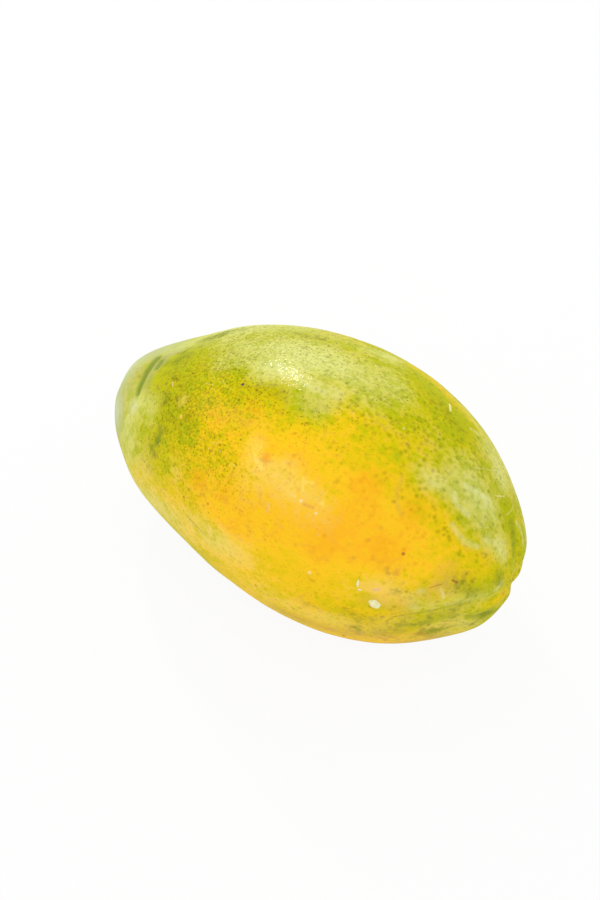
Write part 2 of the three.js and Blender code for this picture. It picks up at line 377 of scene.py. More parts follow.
# How the outline of a drop swells and how its top and underside curve.
OVAL_SWELL, LOBE_SWELL = 0.10, 0.06
TOP_CURVE, TOP_EDGE_CURVE, SINK_CURVE = 2.4, 0.8, 6

# How far to either side the skin is felt, in degrees, to lay a drop on it.
LAY_STEP = 0.5

# --- Patterns in the skin: scales a metre, depths and heights in millimetres ---

BROAD_CLOUD, MIDDLE_CLOUD, SMALL_CLOUD = 45, 130, 350
GRAIN_STRETCH, SPARKLE_STRETCH = 0.75, 1.2
GRAIN_SCALE, RIPPLE_SCALE, SPARKLE_SCALE = 560, 250, 420
FRECKLE_SCALE, FRECKLE_REACH, FRECKLE_DEPTH = 780, (0.0, 0.55), 0.01
PIN_SCALE, PIN_REACH, PIN_DEPTH = 600, (0.02, 0.42), 0.015
SPOT_SCALE, SPOT_REACH = 370, (0.0, 0.6)
FLECK_SCALE, FLECK_REACH, FLECK_HEIGHT = 620, (0.16, 0.36), 0.02
DOT_EDGE, DOT_FAINTEST = (-0.1, 0.15), 0.35
DOT_WANDER = 0.0012
PIN_THINNING = -0.45
CORK_HEIGHT = 0.6
SCAR_CORK_RADIUS, SCAR_CORK_SHARE = 1.1, 0.25
FIRM_EDGE, SOFT_EDGE = (0.55, 1.25), (0.0, 1.9)

# Shares of the broad, middle and small clouds in each layer.
RIPENESS_CLOUDS = (0.6, 0.9, 0.9)
PALE_CLOUDS = (0.5, 0.6, 1.0)
WAX_CLOUDS = (0.0, 0.5)
LEAF_CLOUDS = (0.5, 1.3, 1.3)
FRECKLE_CLOUDS = (0.8, 0.0, 1.0)
SPOT_CLOUDS = (0.8,)
PATCHY_CLOUDS = (0.0, 0.4, 1.0)
STAIN_SPECKLE = 0.1

# Where each layer begins and ends, and for some its amount at both.
MOTTLE_RANGE = (0.3, 1.0, 1.0, 0.4)
RIPE_RANGE, PALE_RANGE = (0.45, 0.85), (0.0, 1.15)
WAX_RANGE, LEAF_RANGE = (0.1, 0.95), (0.1, 0.9)
STAIN_RANGE, CORK_RANGE = (0.02, 0.3), (-0.2, 0.2)
PATCHY_RANGE = (-0.25, 0.15, 0.45, 1.0)
CREASE_RANGE = (0.0, 0.8, 0.0, 0.85)

# How much each layer covers or darkens what is under it. Pin dots lose most of theirs on ripe skin.
PALE_COVER, WAX_COVER, STAIN_COVER, SPOT_COVER, FLECK_COVER = 0.9, 0.85, 0.45, 0.58, 0.45
PIN_COVER, PIN_RIPE_LOSS = 0.6, -0.5

# What clouds, wax, pin dots and cork add to the roughness.
CLOUD_ROUGHNESS, WAX_ROUGHNESS, PIN_ROUGHNESS, CORK_ROUGHNESS = 0.12, 0.14, 0.1, 0.4

# Dried latex.
LATEX_GRAIN, LATEX_BUMP = 900, 0.08
LATEX_RANGE = (-0.2, 0.25)
LATEX_SPECULAR, LATEX_ROUGHNESS, LATEX_GRAIN_ROUGHNESS = 0.4, 0.32, 0.2

# How far the edges of painted patches wander, in degrees, and over what length. The wander along
# and the wander around are read at two places in the noise, so that it is the same each time.
DRIFT_LENGTH, DRIFT_AMOUNT = 18, 5
DRIFT_ALONG, DRIFT_AROUND = (3.4, 8.1, 2.7), (31.7, 12.9, 5.3)

# How much closer together the rings of skin are at the ends of the fruit.
SKIN_CROWDING = 0.25

# --- Stage: floor in metres, and the lamp's angles and the place it lights most ---

FLOOR_REACH = 3.0
FLOOR_GLOW = 0.93
KEY_HIGHLIGHT = (87.8, 94.8)
KEY_AZIMUTH, KEY_ELEVATION = 237.0, 37.5


def smoothstep(low, high, value):
    """0 below low, 1 above high, and a smooth rise between them."""
    share = np.clip((value - low) / (high - low), 0, 1)
    return share * share * (3 - 2 * share)


def bell(distance, spread):
    return np.exp(-((distance / spread) ** 2))


def turn_between(start, end):
    """The shortest way from one bearing to another, in radians."""
    return np.arctan2(np.sin(end - start), np.cos(end - start))


def patch_sum(patches, station, bearing):
    """The sum of round-edged patches at each place on the skin."""
    total = np.zeros(np.broadcast(station, bearing).shape)
    for at_station, at_bearing, along, around, amount in patches:
        run = (station - math.radians(at_station)) / math.radians(along)
        turn = turn_between(math.radians(at_bearing), bearing) / math.radians(around)
        total += amount * np.exp(-(run ** 2 + turn ** 2))
    return total


# --- Shape of the skin, in millimetres ---

def body_point(station, bearing):
    """The smooth body, before any relief."""
    fullness = (
        1
        - BLOSSOM_FULLNESS * np.cos(station)
        - BARREL * np.cos(2 * station)
        + EGG * np.cos(3 * station)
    )
    radius = RADIUS * np.sin(station) * fullness
    lift = ARCH * (np.sin(station) ** 2 - 0.5)
    x = -(LENGTH / 2) * np.cos(station)
    y = radius * np.cos(bearing)
    z = radius * np.sin(bearing) + lift
    return np.stack(np.broadcast_arrays(x, y, z), axis=-1)


def body_normal(station, bearing):
    clear = np.clip(station, 2 * SLOPE_STEP, math.pi - 2 * SLOPE_STEP)
    along = body_point(clear + SLOPE_STEP, bearing) - body_point(clear - SLOPE_STEP, bearing)
    around = body_point(clear, bearing + SLOPE_STEP) - body_point(clear, bearing - SLOPE_STEP)
    normal = np.cross(around, along)
    return normal / np.linalg.norm(normal, axis=-1, keepdims=True)


def blossom_height(station, point):
    """Furrows, pit and low tip around the blossom scar."""
    y = point[..., 1] - SCAR_Y
    z = point[..., 2] - SCAR_Z
    distance = np.hypot(y, z)
    direction = np.arctan2(z, y)
    height = TIP_HEIGHT * bell(distance, TIP_RADIUS) - PIT_DEPTH * bell(distance, PIT_RADIUS)
    for heading, curl, width, depth, reach in FURROWS:
        offset = turn_between(np.radians(heading + curl * distance), direction) * distance
        fade = bell(distance, reach) * smoothstep(0, FURROW_START, distance)
        height -= depth * bell(offset, width) * fade
    start, end = BLOSSOM_SIDE
    return height * smoothstep(math.radians(start), math.radians(end), station)


def stub_share(point):
    """1 on the cut stub of the stalk and 0 off it, by the distance from the stem pole."""
    distance = np.hypot(point[..., 1], point[..., 2] + ARCH / 2)
    return 1 - smoothstep(STUB_RADIUS - STUB_EDGE, STUB_RADIUS + STUB_EDGE, distance)


def stem_height(station, point):
    """Ring, socket and stub of the stalk around the stem pole."""
    y = point[..., 1]
    z = point[..., 2] + ARCH / 2
    distance = np.hypot(y, z)
    lobe = np.cos(RING_LOBES * (np.arctan2(z, y) - math.radians(RING_LOBE_BEARING)))
    crest = RING_HEIGHT * (1 + RING_LOBE_SHARE * lobe)
    ring = crest * bell(distance - RING_RADIUS, RING_WIDTH)
    socket = SOCKET_DEPTH * bell(distance, SOCKET_RADIUS)
    start, end = STEM_SIDE
    fade = 1 - smoothstep(math.radians(start), math.radians(end), station)
    return (ring + STUB_HEIGHT * stub_share(point) - socket) * fade


def path_distance(point, path):
    """The distance from each point to a path given by stations and bearings."""
    corners = [body_point(np.radians(s), np.radians(b)) for s, b in path]
    nearest = np.full(point.shape[:-1], np.inf)
    for start, end in zip(corners, corners[1:]):
        along = end - start
        share = np.clip(((point - start) @ along) / (along @ along), 0, 1)
        gap = np.linalg.norm(point - start - share[..., None] * along, axis=-1)
        nearest = np.minimum(nearest, gap)
    return nearest


def crease_share(point):
    """1 along the dents of the stem shoulder, fading to 0 beside them."""
    share = np.zeros(point.shape[:-1])
    for path, width, depth in CREASES:
        share = np.maximum(share, depth * bell(path_distance(point, path), width))
    return share


def fine_height(point):
    """The creases, the dimple and the gentle waviness."""
    centre = body_point(np.radians(DIMPLE[0]), np.radians(DIMPLE[1]))
    distance = np.linalg.norm(point - centre, axis=-1)
    rim = DIMPLE_RIM_HEIGHT * bell(distance - DIMPLE_RIM_RADIUS, DIMPLE_RIM_WIDTH)
    height = rim - DIMPLE_DEPTH * bell(distance, DIMPLE_RADIUS) - crease_share(point)
    flat = point.reshape(-1, 3)
    for wavelength, amount in WAVES:
        waves = [noise.noise(Vector(place)) for place in (flat / wavelength).tolist()]
        height += amount * np.array(waves).reshape(height.shape)
    return height


def tilted_skin(station, bearing, fine):
    """Skin points with the blossom end raised, not yet moved to rest on the ground."""
    body = body_point(station, bearing)
    height = patch_sum(SWELLS, station, bearing)
    height = height + blossom_height(station, body) + stem_height(station, body)
    if fine:
        height = height + fine_height(body)
    point = body + body_normal(station, bearing) * height[..., None]
    lift = math.radians(BLOSSOM_LIFT)
    x = point[..., 0] * math.cos(lift) - point[..., 2] * math.sin(lift)
    z = point[..., 0] * math.sin(lift) + point[..., 2] * math.cos(lift)
    return np.stack((x, point[..., 1], z), axis=-1)


def rest_shift():
    """What moves the tilted skin to the middle of the CAD box and down onto its pressed spot."""
    station = np.linspace(0, math.pi, REST_RINGS)[:, None]
    bearing = np.linspace(0, 2 * math.pi, REST_COLUMNS)[None, :]
    point = tilted_skin(station, bearing, fine=False).reshape(-1, 3)
    middle = (point.min(axis=0) + point.max(axis=0)) / 2
    low, high = (np.array(corner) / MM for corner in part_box(NODE))
    shift = (low + high) / 2 - middle
    shift[2] = low[2] - point[:, 2].min() - SPOT_DEPTH
    return shift


REST_SHIFT = rest_shift()
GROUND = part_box(NODE)[0][2]


def skin_points(station, bearing, fine=True):
    """Skin points in metres in the frame, pressed flat where the fruit rests."""
    point = (tilted_skin(station, bearing, fine) + REST_SHIFT) * MM
    point[..., 2] = np.maximum(point[..., 2], GROUND)
    return point


def place(station, bearing):
    """One place on the skin, given in degrees, as a point in metres."""
    point = skin_points(np.radians([station]), np.radians([bearing]))
    return Vector(point[0])


# --- Wiring of materials ---

MIX_FACTOR, MIX_A, MIX_B, MIX_RESULT = 0, 6, 7, 2


class Wiring:
    """Short ways to add nodes to a material or world and join them."""

    def __init__(self, tree):
        self.tree = tree
        tree.nodes.clear()

    def feed(self, socket, value):
        if isinstance(value, bpy.types.NodeSocket):
            self.tree.links.new(value, socket)
        elif socket.type == "RGBA":
            socket.default_value = (*value[:3], 1)
        else:
            socket.default_value = value

    def node(self, kind, inputs=None, **settings):
        made = self.tree.nodes.new(kind)
        for name, value in settings.items():
            setattr(made, name, value)
        for name, value in (inputs or {}).items():
            self.feed(made.inputs[name], value)
        return made

    def math(self, operation, *values):
        made = self.node("ShaderNodeMath", operation=operation)
        for socket, value in zip(made.inputs, values):
            self.feed(socket, value)
        return made.outputs[0]

    def vector(self, operation, *values, output="Vector"):
        made = self.node("ShaderNodeVectorMath", operation=operation)
        for socket, value in zip(made.inputs, values):
            self.feed(socket, value)
        return made.outputs[output]

    def fold(self, operation, *values):
        """Joins all the values in turn, each with what came before."""
        total = values[0]
        for value in values[1:]:
            total = self.math(operation, total, value)
        return total

    def add(self, *values):
        return self.fold("ADD", *values)

    def times(self, *values):
        return self.fold("MULTIPLY", *values)

    def ramp(self, value, low, high, bottom=0.0, top=1.0):
        """A smooth rise from bottom to top as the value goes from low to high."""
        made = self.node("ShaderNodeMapRange", interpolation_type="SMOOTHSTEP")
        for name, given in (
            ("Value", value), ("From Min", low), ("From Max", high),
            ("To Min", bottom), ("To Max", top),
        ):
            self.feed(made.inputs[name], given)
        return made.outputs["Result"]

    def mix(self, factor, colour, other, blend="MIX"):
        made = self.node("ShaderNodeMix", data_type="RGBA", blend_type=blend)
        self.feed(made.inputs[MIX_FACTOR], factor)
        self.feed(made.inputs[MIX_A], colour)
        self.feed(made.inputs[MIX_B], other)
        return made.outputs[MIX_RESULT]

    def attribute(self, name):
        return self.node("ShaderNodeAttribute", attribute_name=name).outputs["Fac"]

    def cloud(self, place, scale, detail=3.0, roughness=0.55):
        """Soft noise around zero, from about -0.5 to 0.5."""
        made = self.node("ShaderNodeTexNoise", {
            "Vector": place, "Scale": scale, "Detail": detail, "Roughness": roughness})
        return self.math("SUBTRACT", made.outputs["Fac"], 0.5)

    def dots(self, place, scale, reach, crowd):
        """Scattered round dots. The crowd, from 0 to 1, is how many of them show."""
        made = self.node("ShaderNodeTexVoronoi", {"Vector": place, "Scale": scale})
        chance = self.node("ShaderNodeSeparateColor", {"Color": made.outputs["Color"]}).outputs
        return self.times(
            self.ramp(made.outputs["Distance"], *reach, 1.0, 0.0),
            self.ramp(self.math("SUBTRACT", crowd, chance[0]), *DOT_EDGE),
            self.ramp(chance[1], 0, 1, DOT_FAINTEST, 1.0))

    def surface(self, shader, kind="Material"):
        """Sends a shader to the output of the material or world."""
        output = self.node(f"ShaderNodeOutput{kind}")
        self.feed(output.inputs["Surface"], shader.outputs[0])


def new_material(name):
    material = bpy.data.materials.new(name)
    material.use_nodes = True
    return material


def faded(wiring, distance, radius, strength, soft):
    """Strength in the middle of a mark and 0 past its edge."""
    inner, outer = SOFT_EDGE if soft else FIRM_EDGE
    return wiring.ramp(distance, radius * MM * inner, radius * MM * outer, strength, 0.0)


def dot_share(wiring, here, dot, soft):
    """The share of a round mark."""
    station, bearing, radius, strength = dot
    distance = wiring.vector("DISTANCE", here, tuple(place(station, bearing)), output="Value")
    return faded(wiring, distance, radius, strength, soft)


def line_share(wiring, here, start, end, radius, strength, soft):
    """The share of one straight stretch of a drawn mark."""
    along = end - start
    from_start = wiring.vector("SUBTRACT", here, tuple(start))
    direction = tuple(along / along.length_squared)
    run = wiring.vector("DOT_PRODUCT", from_start, direction, output="Value")
    share = wiring.math("MAXIMUM", wiring.math("MINIMUM", run, 1.0), 0.0)
    nearest = wiring.node("ShaderNodeVectorMath", operation="SCALE")
    wiring.feed(nearest.inputs[0], tuple(along))
    wiring.feed(nearest.inputs["Scale"], share)
    distance = wiring.vector("DISTANCE", from_start, nearest.outputs[0], output="Value")
    return faded(wiring, distance, radius, strength, soft)


def mark_share(wiring, here, soft, dots, lines):
    """All the marks of one kind together."""
    shares = [dot_share(wiring, here, dot, soft) for dot in dots]
    for path, radius, strength in lines:
        corners = [place(*corner) for corner in path]
        for start, end in zip(corners, corners[1:]):
            shares.append(line_share(wiring, here, start, end, radius, strength, soft))
    return wiring.fold("MAXIMUM", *shares)


def skin_material(settings):
    """Ripening skin: cloudy colour, bloom and painted sheen, speckles, flecks, marks with painted
    glints and shade, cork and a waxy gloss.
    """
    material = new_material("papaya_skin")
    wiring = Wiring(material.node_tree)
    here = wiring.node("ShaderNodeTexCoord").outputs["Object"]
    paint = {name: wiring.attribute(name) for name in (*PAINT, "wax", "cork", "crease")}

    # Clouds and grain are drawn out along the fruit.
    brushed = wiring.vector("MULTIPLY", here, (GRAIN_STRETCH, 1, 1))
    broad = wiring.cloud(here, BROAD_CLOUD)
    middle = wiring.cloud(brushed, MIDDLE_CLOUD)
    small = wiring.cloud(brushed, SMALL_CLOUD)
    wander = wiring.vector("MULTIPLY_ADD", wiring.node(
        "ShaderNodeTexNoise", {"Vector": here, "Scale": MIDDLE_CLOUD}).outputs["Color"],
        (DOT_WANDER,) * 3, here)

    def clouds(shares):
        """A share of each cloud, to add to a layer."""
        return [wiring.times(cloud, share) for cloud, share in zip((broad, middle, small), shares)]

    # The greener the skin, the more it is mottled.
    mottle = wiring.ramp(paint["ripeness"], *MOTTLE_RANGE)
    blotches = wiring.add(mottle, paint["blotch"])
    ripeness = wiring.add(
        paint["ripeness"], wiring.times(blotches, wiring.add(*clouds(RIPENESS_CLOUDS))))
    ripe = wiring.ramp(ripeness, *RIPE_RANGE)
    ramp = wiring.node("ShaderNodeValToRGB", {"Fac": ripeness})
    stops = ramp.color_ramp.elements
    steps = (settings.leaf_colour, settings.olive_colour, settings.yellow_colour,
             settings.gold_colour, settings.orange_colour)
    while len(stops) < len(steps):
        stops.new(0.5)
    for index, step in enumerate(steps):
        stops[index].position = index / (len(steps) - 1)
        stops[index].color = (*step, 1)
    colour = ramp.outputs["Color"]

    # Pale bloom with painted sheen over the top, wax, and deep green clouds that also carry painted
    # shade in dents and furrows.
    pale = wiring.ramp(wiring.add(paint["pale"], *clouds(PALE_CLOUDS)), *PALE_RANGE)
    bloom_and_sheen = wiring.mix(ripe, settings.pale_colour, settings.ripe_pale_colour)
    colour = wiring.mix(wiring.times(pale, PALE_COVER), colour, bloom_and_sheen)
    wax = wiring.ramp(wiring.add(paint["wax"], *clouds(WAX_CLOUDS)), *WAX_RANGE)
    colour = wiring.mix(wiring.times(wax, WAX_COVER), colour, settings.wax_colour)
    deep_green_and_shade = wiring.ramp(wiring.add(paint["deep_green_and_shade"], *clouds(LEAF_CLOUDS)), *LEAF_RANGE)
    colour = wiring.mix(wiring.times(deep_green_and_shade, mottle), colour, settings.deep_colour)
    bare = wiring.math("SUBTRACT", 1.0, wax)

    # Fine freckles: dense soft dots over a faint mottling.
    freckle_colour = wiring.mix(ripe, settings.freckle_colour, settings.ripe_freckle_colour)
    stain = wiring.times(bare, wiring.ramp(wiring.add(
        wiring.cloud(brushed, FRECKLE_SCALE, detail=2, roughness=0.6),
        wiring.times(paint["speckle"], STAIN_SPECKLE)), *STAIN_RANGE))
    colour = wiring.mix(
        wiring.times(stain, STAIN_COVER), colour, freckle_colour, blend="MULTIPLY")
    crowd = wiring.add(paint["speckle"], *clouds(FRECKLE_CLOUDS))
    freckle = wiring.times(bare, wiring.dots(wander, FRECKLE_SCALE, FRECKLE_REACH, crowd))
    colour = wiring.mix(freckle, colour, freckle_colour, blend="MULTIPLY")

    # Darker pin dots, fewer of them, and hardly any on ripe skin.
    crowd = wiring.add(paint["speckle"], PIN_THINNING, broad)
    pin = wiring.times(bare, wiring.dots(wander, PIN_SCALE, PIN_REACH, crowd))
    pin_cover = wiring.math("MULTIPLY_ADD", ripe, PIN_RIPE_LOSS, PIN_COVER)
    colour = wiring.mix(
        wiring.times(pin, pin_cover), colour, settings.speckle_colour, blend="MULTIPLY")

    # Larger soft spots.
    crowd = wiring.add(paint["spots"], *clouds(SPOT_CLOUDS))
    spot = wiring.times(bare, wiring.dots(wander, SPOT_SCALE, SPOT_REACH, crowd))
    spot_colour = wiring.mix(ripe, settings.spot_colour, settings.ripe_spot_colour)
    colour = wiring.mix(wiring.times(spot, SPOT_COVER), colour, spot_colour, blend="MULTIPLY")

    # Pale flecks.
    fleck = wiring.dots(wander, FLECK_SCALE, FLECK_REACH, paint["fleck"])
    colour = wiring.mix(wiring.times(fleck, FLECK_COVER), colour, settings.fleck_colour)

    # Soft marks break up with the clouds, and firm marks stay whole.
    patchy = wiring.ramp(wiring.add(*clouds(PATCHY_CLOUDS)), *PATCHY_RANGE)
    for code, soft, dots, lines in MARKS.values():
        share = mark_share(wiring, here, soft, dots, lines)
        if soft:
            share = wiring.times(share, patchy)
        colour = wiring.mix(share, colour, tint(code))

    # Painted shade in the creases: the dents of the stem shoulder are darkened as well as greened.
    # Then cork.
    colour = wiring.mix(
        wiring.ramp(paint["crease"], *CREASE_RANGE), colour, settings.crease_shade_colour)
    cork_colour = wiring.mix(
        wiring.ramp(small, *CORK_RANGE), settings.cork_colour, settings.cork_dark_colour)
    colour = wiring.mix(paint["cork"], colour, cork_colour)

    # The relief shades the skin, and the sparkle breaks up its gloss.
    relief = wiring.add(
        wiring.times(wiring.cloud(brushed, RIPPLE_SCALE, detail=2), settings.ripple_height),
        wiring.times(wiring.cloud(brushed, GRAIN_SCALE, detail=2), settings.grain_height),
        wiring.times(freckle, -FRECKLE_DEPTH * MM),
        wiring.times(pin, -PIN_DEPTH * MM),
        wiring.times(fleck, FLECK_HEIGHT * MM),
        wiring.times(paint["cork"], small, CORK_HEIGHT * MM))
    drawn_out = wiring.vector("MULTIPLY", here, (SPARKLE_STRETCH, 1, 1))
    sparkle = wiring.times(
        wiring.cloud(drawn_out, SPARKLE_SCALE, detail=1), settings.sparkle_height)
    normal, gloss_normal = (
        wiring.node("ShaderNodeBump", {"Strength": 1.0, "Distance": 1.0, "Height": height})
        .outputs["Normal"] for height in (relief, sparkle))

    roughness = wiring.add(
        settings.roughness,
        wiring.times(middle, CLOUD_ROUGHNESS),
        wiring.times(wax, WAX_ROUGHNESS),
        wiring.times(pin, PIN_ROUGHNESS),
        wiring.times(paint["cork"], CORK_ROUGHNESS))
    glossy = wiring.math("SUBTRACT", 1.0, wiring.math("MAXIMUM", wax, paint["cork"]))
    shader = wiring.node("ShaderNodeBsdfPrincipled", {
        "Base Color": colour,
        "Roughness": roughness,
        "Specular IOR Level": settings.specular,
        "Coat Weight": wiring.math("MULTIPLY", glossy, settings.gloss),
        "Coat Roughness": settings.gloss_roughness,
        "Normal": normal,
        "Coat Normal": gloss_normal,
    })
    wiring.surface(shader)
    return material


def latex_material(settings):
    """Dried latex: a cloudy cream drop with a soft shine."""
    material = new_material("dried_latex")
    wiring = Wiring(material.node_tree)
    here = wiring.node("ShaderNodeTexCoord").outputs["Object"]
    grain = wiring.cloud(here, LATEX_GRAIN, detail=2)
    colour = wiring.mix(
        wiring.ramp(grain, *LATEX_RANGE), settings.colour, settings.edge_colour)
    bump = wiring.node("ShaderNodeBump", {
        "Strength": 1.0, "Distance": 1.0, "Height": wiring.times(grain, LATEX_BUMP * MM)})
    shader = wiring.node("ShaderNodeBsdfPrincipled", {
        "Base Color": colour,
        "Roughness": wiring.add(LATEX_ROUGHNESS, wiring.times(grain, LATEX_GRAIN_ROUGHNESS)),
        "Specular IOR Level": LATEX_SPECULAR,
        "Normal": bump.outputs["Normal"],
    })
    wiring.surface(shader)
    return material


# --- Meshes ---

def mesh_object(name, points, faces, material):
    mesh = bpy.data.meshes.new(name)
    mesh.from_pydata(points, [], faces)
    mesh.shade_smooth()
    mesh.update()
    mesh.validate()
    mesh.materials.append(material)
    piece = bpy.data.objects.new(name, mesh)
    bpy.context.scene.collection.objects.link(piece)
    return piece


def add_attribute(piece, name, values):
    layer = piece.data.attributes.new(name, "FLOAT", "POINT")
    layer.data.foreach_set("value", np.asarray(values, dtype=np.float32).ravel())


def skin_grid(rings, columns):
    """Stations and bearings of all corners: the stem pole, every ring, then the blossom pole."""
    even = np.linspace(0, math.pi, rings + 1)[1:-1]
    stations = even - SKIN_CROWDING * np.sin(2 * even) / 2
    bearings = np.arange(columns) * (2 * math.pi / columns)
    station, bearing = np.meshgrid(stations, bearings, indexing="ij")
    station = np.concatenate(([0.0], station.ravel(), [math.pi]))
    bearing = np.concatenate(([0.0], bearing.ravel(), [0.0]))
    return station, bearing


def skin_faces(rings, columns):
    """Quads between the rings and a fan of triangles at each pole, all facing outwards."""
    across = [(column, (column + 1) % columns) for column in range(columns)]
    faces = [(0, 1 + right, 1 + left) for left, right in across]
    for ring in range(rings - 2):
        near, far = 1 + ring * columns, 1 + (ring + 1) * columns
        faces += [(near + left, near + right, far + right, far + left) for left, right in across]
    pole = 1 + (rings - 1) * columns
    last = pole - columns
    faces += [(pole, last + left, last + right) for left, right in across]
    return faces


def cork_share(station, point):
    """1 on the cut stalk and on the tip of the blossom scar, 0 elsewhere."""
    scar = np.hypot(point[..., 1] - SCAR_Y, point[..., 2] - SCAR_Z)
    blossom = SCAR_CORK_SHARE * bell(scar, SCAR_CORK_RADIUS)
    return np.where(station < math.pi / 2, stub_share(point), blossom)


def edge_drift(point, start):
    """How far painted edges wander at each point, in radians."""
    places = (point / DRIFT_LENGTH + np.array(start)).tolist()
    return math.radians(DRIFT_AMOUNT) * np.array([noise.noise(Vector(p)) for p in places])


def paint_skin(piece, station, bearing):
    """Writes each painted share to the corners, with edges that wander a little."""
    point = body_point(station, bearing)
    station_drifted = station + edge_drift(point, DRIFT_ALONG)
    bearing_drifted = bearing + edge_drift(point, DRIFT_AROUND)
    for name, (base, patches) in PAINT.items():
        add_attribute(piece, name, base + patch_sum(patches, station_drifted, bearing_drifted))
    low, high = (math.radians(end) for end in WAX_FADE)
    add_attribute(piece, "wax", 1 - smoothstep(low, high, station_drifted) + patch_sum(
        WAX_GAPS, station_drifted, bearing_drifted))
    add_attribute(piece, "cork", cork_share(station, point))
    add_attribute(piece, "crease", crease_share(point))


def latex_dome(drop):
    """One dried drop, domed over the skin, with its underside sunk just below it."""
    station, bearing, half_length, half_width, height = drop
    centre = place(station, bearing)
    step = LAY_STEP
    along = (place(station + step, bearing) - place(station - step, bearing)).normalized()
    around = (place(station, bearing + step) - place(station, bearing - step)).normalized()
    outward = around.cross(along).normalized()
    points, faces = [centre + outward * height * MM], []
    for ring in range(1, LATEX_RINGS + 1):
        share = ring / LATEX_RINGS
        for side in range(LATEX_SIDES):
            angle = 2 * math.pi * side / LATEX_SIDES
            oval = OVAL_SWELL * math.sin(2 * angle + station)
            edge = 1 + oval + LOBE_SWELL * math.sin(5 * angle + bearing)
            run = share * edge * half_length * math.cos(angle)
            turn = share * edge * half_width * math.sin(angle)
            top = height * (1 - share ** TOP_CURVE) ** TOP_EDGE_CURVE
            rise = top - LATEX_SINK * share ** SINK_CURVE
            points.append(centre + (along * run + around * turn + outward * rise) * MM)
    underside = len(points)
    points.append(centre - outward * 2 * LATEX_SINK * MM)
    for side in range(LATEX_SIDES):
        following = (side + 1) % LATEX_SIDES
        faces.append((0, 1 + following, 1 + side))
        for ring in range(LATEX_RINGS - 1):
            near, far = 1 + ring * LATEX_SIDES, 1 + (ring + 1) * LATEX_SIDES
            faces.append((near + side, near + following, far + following, far + side))
        last = 1 + (LATEX_RINGS - 1) * LATEX_SIDES
        faces.append((last + side, last + following, underside))
    return points, faces


# --- Settings that a user can change ---

def colour_property(name, description, code):
    return FloatVectorProperty(
        name=name, description=description, default=tint(code), min=0, max=1, subtype="COLOR")


def share_property(name, description, default):
    return FloatProperty(
        name=name, description=description, default=default, min=0, max=1, subtype="FACTOR")


def height_property(name, description, default):
    return FloatProperty(
        name=name, description=description, default=default,
        min=0, max=0.002, precision=5, unit="LENGTH")


class PapayaSkinSettings(PropertyGroup):
    """Fineness, colours and finish of the skin."""

    rings: IntProperty(
        name="Rings", description="Rings of skin from pole to pole", default=340, min=40, max=342)
    columns: IntProperty(
        name="Columns", description="Corners around each ring", default=288, min=48, max=290)
    leaf_colour: colour_property("Leaf", "Unripe skin", "#b5b703")
    olive_colour: colour_property("Olive", "Skin that starts to turn", "#d2c304")
    yellow_colour: colour_property("Yellow", "Half-ripe skin", "#e9c60c")
    gold_colour: colour_property("Gold", "Nearly ripe skin", "#fdca1e")
    orange_colour: colour_property("Orange", "Ripe skin", "#ffba20")
    # The deep green also serves as painted shade in the shoulder dents and the blossom furrows.
    deep_colour: colour_property("Deep green", "Green clouds left in the skin", "#8a9200")
    # Painted shade: a darker green for the dents of the stem shoulder.
    crease_shade_colour: colour_property("Crease", "Dents of the stem shoulder", "#7a8e34")
    # The pale colours also serve as the painted sheen round the highlight on top.
    pale_colour: colour_property("Pale lime", "Pale bloom on top of the fruit", "#dee18c")
    ripe_pale_colour: colour_property("Pale gold", "The same bloom on ripe skin", "#fddc72")
    wax_colour: colour_property("Wax", "Dull wax over the stem end", "#bec692")
    freckle_colour: colour_property("Freckle", "How fine freckles darken green skin", "#989c58")
    ripe_freckle_colour: colour_property("Ripe freckle", "How they darken ripe skin", "#e6cdb4")
    speckle_colour: colour_property("Pin dot", "How pin dots darken the skin", "#8e905c")
    spot_colour: colour_property("Spot", "How larger soft spots darken the skin", "#98a480")
    ripe_spot_colour: colour_property("Ripe spot", "How they darken ripe skin", "#e8c890")
    fleck_colour: colour_property("Fleck", "Pale flecks", "#efe9a0")
    cork_colour: colour_property("Cork", "Cut stalk and blossom scar", "#a98c5a")
    cork_dark_colour: colour_property("Dark cork", "Grain of the cut stalk", "#6e5433")
    roughness: share_property("Roughness", "Roughness of the skin under its gloss", 0.42)
    specular: share_property("Specular", "Strength of the soft reflection", 0.0)
    gloss: share_property("Gloss", "Weight of the natural gloss", 0.13)
    gloss_roughness: share_property("Gloss roughness", "How far the gloss spreads light", 0.10)
    grain_height: height_property("Grain height", "Height of the fine grain", 0.00012)
    sparkle_height: height_property("Sparkle height", "Height of the grain in the gloss", 0.0003)
    ripple_height: height_property("Ripple height", "Height of the small waves", 0.00015)


class PapayaLatexSettings(PropertyGroup):
    """Colours of the dried latex."""

    colour: colour_property("Latex", "Middle of a dried drop", "#f3efc4")
    edge_colour: colour_property("Thin latex", "Thin parts of a dried drop", "#e3d98a")


